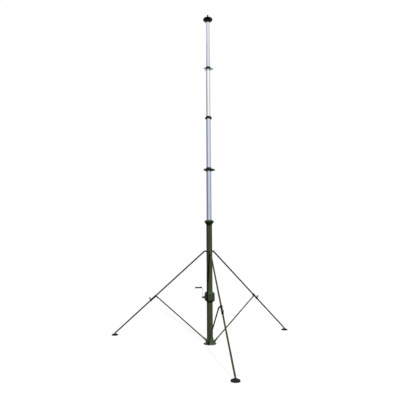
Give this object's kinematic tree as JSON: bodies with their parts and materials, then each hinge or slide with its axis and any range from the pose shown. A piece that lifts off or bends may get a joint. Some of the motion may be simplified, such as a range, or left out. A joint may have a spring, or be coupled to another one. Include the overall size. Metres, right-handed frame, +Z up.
{
  "type": "portable telescopic radio mast",
  "caption": "Hand-cranked telescopic radio mast: aluminium tubes rising from an olive base tube that stands on a round plate and a folding braced tripod.",
  "frame": {"origin": "centre of the base plate's underside, on the ground", "axes": "+Z up along the mast; the front leg points along -Y and the crank handle along -X"},
  "size_m": [4.0372, 3.515, 7.12],
  "materials": {
    "olive_paint": "semi-matt olive green paint",
    "dark_casting": "dark olive paint on a casting",
    "bare_aluminium": "satin drawn tube",
    "black_rubber": "matt black",
    "black_plastic": "matt black",
    "bright_steel": "zinc plated steel"
  },
  "bodies": {
    "mast_base": {"base_plate": "olive_paint", "base_socket": "olive_paint", "main_tube": "olive_paint", "main_collar": "olive_paint", "main_collar_screw": "black_plastic", "leg_collar": "olive_paint", "leg_hinge_pins": "bright_steel", "gear_housing": "olive_paint", "gear_cover": "olive_paint"},
    "stage_1": {"stage_1_tube": "bare_aluminium", "stage_1_collar": "dark_casting", "stage_1_guy_ring": "dark_casting"},
    "stage_2": {"stage_2_tube": "bare_aluminium", "stage_2_collar": "dark_casting"},
    "stage_3": {"stage_3_tube": "bare_aluminium", "stage_3_collar": "dark_casting", "stage_3_guy_ring": "dark_casting"},
    "stage_4": {"stage_4_tube": "bare_aluminium", "head_plate": "black_plastic", "head_spigot": "bright_steel"},
    "crank": {"crank_shaft": "bright_steel", "crank_arm": "bright_steel", "grip_pin": "bright_steel"},
    "grip": {"crank_grip": "black_plastic"},
    "leg_front": {"leg_front": "olive_paint"},
    "sleeve_front": {"sleeve_front": "dark_casting", "knob_front": "black_plastic"},
    "brace_front": {"brace_front": "olive_paint", "brace_fork_front": "dark_casting"},
    "foot_front": {"foot_pad_front": "black_rubber"},
    "leg_right": {"leg_right": "olive_paint"},
    "sleeve_right": {"sleeve_right": "dark_casting", "knob_right": "black_plastic"},
    "brace_right": {"brace_right": "olive_paint", "brace_fork_right": "dark_casting"},
    "foot_right": {"foot_pad_right": "black_rubber"},
    "leg_left": {"leg_left": "olive_paint"},
    "sleeve_left": {"sleeve_left": "dark_casting", "knob_left": "black_plastic"},
    "brace_left": {"brace_left": "olive_paint", "brace_fork_left": "dark_casting"},
    "foot_left": {"foot_pad_left": "black_rubber"}
  },
  "joints": [
    {"name": "stage_1_slide", "type": "slide", "parent": "mast_base", "child": "stage_1", "axis": [0, 0, 1], "range_m": [-1.035, 0]},
    {"name": "stage_2_slide", "type": "slide", "parent": "stage_1", "child": "stage_2", "axis": [0, 0, 1], "range_m": [-1.035, 0]},
    {"name": "stage_3_slide", "type": "slide", "parent": "stage_2", "child": "stage_3", "axis": [0, 0, 1], "range_m": [-1.035, 0]},
    {"name": "stage_4_slide", "type": "slide", "parent": "stage_3", "child": "stage_4", "axis": [0, 0, 1], "range_m": [-1.035, 0]},
    {"name": "crank_turn", "type": "hinge", "parent": "mast_base", "child": "crank", "pos_m": [-0.138, 0, 0.905], "axis": [-1, 0, 0], "continuous": true},
    {"name": "grip_turn", "type": "hinge", "parent": "crank", "child": "grip", "pos_m": [-0.15, 0, 1.095], "axis": [-1, 0, 0], "continuous": true},
    {"name": "leg_front_fold", "type": "hinge", "parent": "mast_base", "child": "leg_front", "pos_m": [0, -0.11, 1.822], "axis": [1, 0, 0], "range_deg": [0, 42.28]},
    {"name": "sleeve_front_slide", "type": "slide", "parent": "leg_front", "child": "sleeve_front", "axis": [0, -0.7692, -0.6391], "range_m": [-1.1252, 0]},
    {"name": "brace_front_fold", "type": "hinge", "parent": "mast_base", "child": "brace_front", "pos_m": [-0.04, -0.094, 0.055], "axis": [1, 0, 0], "range_deg": [-51.93, 0]},
    {"name": "foot_front_swivel", "type": "hinge", "parent": "leg_front", "child": "foot_front", "pos_m": [0, -2.25, 0.044], "axis": [1, 0, 0], "range_deg": [-50, 25]},
    {"name": "leg_right_fold", "type": "hinge", "parent": "mast_base", "child": "leg_right", "pos_m": [0.09526, 0.055, 1.822], "axis": [-0.5, 0.866, 0], "range_deg": [0, 42.28]},
    {"name": "sleeve_right_slide", "type": "slide", "parent": "leg_right", "child": "sleeve_right", "axis": [0.6661, 0.3846, -0.6391], "range_m": [-1.1252, 0]},
    {"name": "brace_right_fold", "type": "hinge", "parent": "mast_base", "child": "brace_right", "pos_m": [0.10141, 0.01236, 0.055], "axis": [-0.5, 0.866, 0], "range_deg": [-51.93, 0]},
    {"name": "foot_right_swivel", "type": "hinge", "parent": "leg_right", "child": "foot_right", "pos_m": [1.94856, 1.125, 0.044], "axis": [-0.5, 0.866, 0], "range_deg": [-50, 25]},
    {"name": "leg_left_fold", "type": "hinge", "parent": "mast_base", "child": "leg_left", "pos_m": [-0.09526, 0.055, 1.822], "axis": [-0.5, -0.866, 0], "range_deg": [0, 42.28]},
    {"name": "sleeve_left_slide", "type": "slide", "parent": "leg_left", "child": "sleeve_left", "axis": [-0.6661, 0.3846, -0.6391], "range_m": [-1.1252, 0]},
    {"name": "brace_left_fold", "type": "hinge", "parent": "mast_base", "child": "brace_left", "pos_m": [-0.06141, 0.08164, 0.055], "axis": [-0.5, -0.866, 0], "range_deg": [-51.93, 0]},
    {"name": "foot_left_swivel", "type": "hinge", "parent": "leg_left", "child": "foot_left", "pos_m": [-1.94856, 1.125, 0.044], "axis": [-0.5, -0.866, 0], "range_deg": [-50, 25]}
  ],
  "couplings": [
    {"joint": "stage_2_slide", "follows": "stage_1_slide", "ratio": 1},
    {"joint": "stage_3_slide", "follows": "stage_1_slide", "ratio": 1},
    {"joint": "stage_4_slide", "follows": "stage_1_slide", "ratio": 1},
    {"joint": "sleeve_front_slide", "follows": "leg_front_fold", "m_per_rad": -1.5242},
    {"joint": "brace_front_fold", "follows": "leg_front_fold", "ratio": -1.2281},
    {"joint": "sleeve_right_slide", "follows": "leg_right_fold", "m_per_rad": -1.5242},
    {"joint": "brace_right_fold", "follows": "leg_right_fold", "ratio": -1.2281},
    {"joint": "sleeve_left_slide", "follows": "leg_left_fold", "m_per_rad": -1.5242},
    {"joint": "brace_left_fold", "follows": "leg_left_fold", "ratio": -1.2281}
  ]
}
